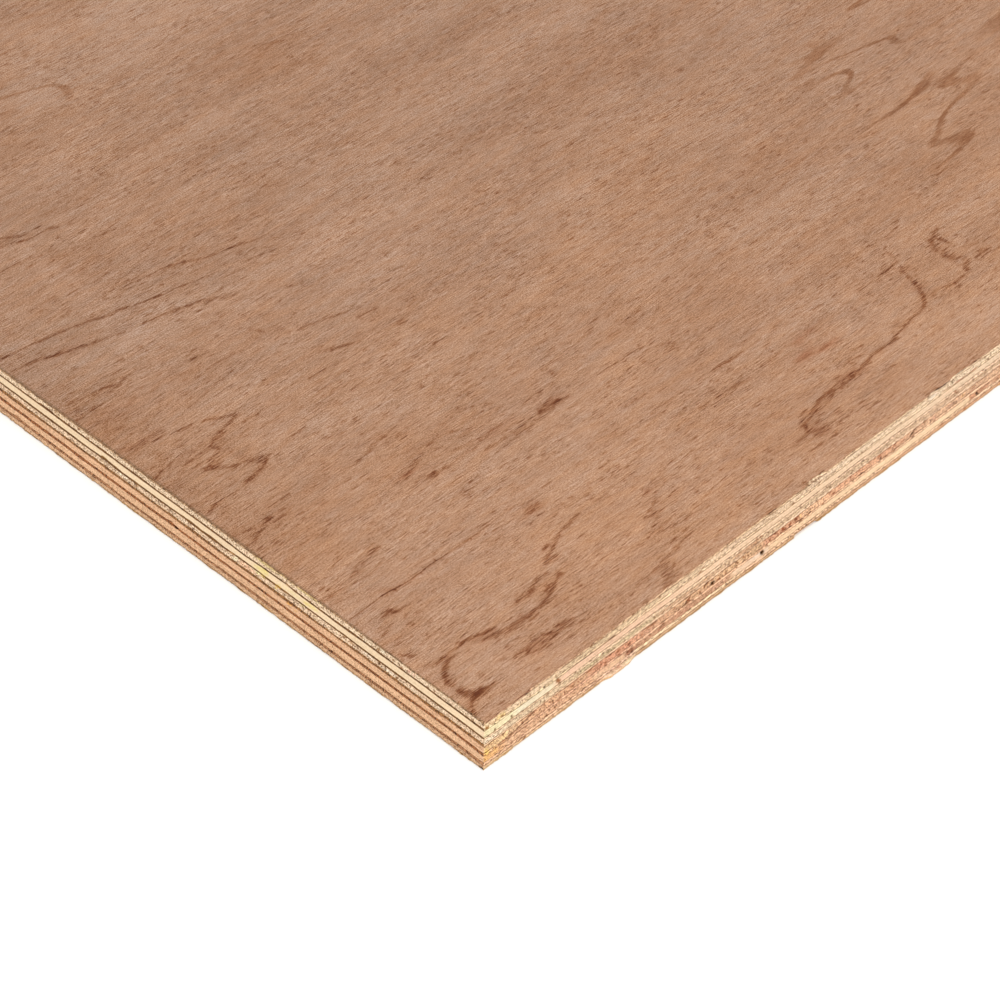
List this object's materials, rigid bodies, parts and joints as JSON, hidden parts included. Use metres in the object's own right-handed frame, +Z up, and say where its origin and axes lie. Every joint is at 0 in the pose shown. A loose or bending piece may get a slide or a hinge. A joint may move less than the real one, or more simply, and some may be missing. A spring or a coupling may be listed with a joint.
{
  "type": "plywood sheet",
  "caption": "Flat hardwood-faced plywood panel with crossed plies showing as light and dark bands on its sawn edges.",
  "frame": {"origin": "centre of the underside, so the panel lies on Z = 0", "axes": "+X along the face grain and the long side, +Y across the grain, +Z up out of the face veneer"},
  "size_m": [1.22, 0.607, 0.018],
  "materials": {
    "face_veneer": "sanded, unfinished pinkish-brown hardwood veneer with fine dark vessel lines and darker figure",
    "back_veneer": "sanded, unfinished brown hardwood veneer, a little rougher than the face",
    "cross_ply_pale": "sawn edge of a pale core veneer, speckled with open pores",
    "cross_ply_cream": "sawn edge of a smooth cream core veneer",
    "cross_ply_red": "sawn edge of a pinkish-orange core veneer",
    "cross_ply_brown": "sawn edge of a tan-brown core veneer, rough",
    "long_ply_pale": "sawn edge of a thin pale veneer between dark glue lines",
    "long_ply_red": "sawn edge of a thin reddish veneer between dark glue lines"
  },
  "bodies": {
    "root": {"face_veneer": "face_veneer", "cross_ply_1": "cross_ply_pale", "long_ply_1": "long_ply_pale", "cross_ply_2": "cross_ply_cream", "long_ply_2": "long_ply_pale", "cross_ply_3": "cross_ply_pale", "long_ply_3": "long_ply_red", "cross_ply_4": "cross_ply_red", "long_ply_4": "long_ply_red", "cross_ply_5": "cross_ply_red", "long_ply_5": "long_ply_red", "cross_ply_6": "cross_ply_brown", "back_veneer": "back_veneer"}
  },
  "joints": []
}
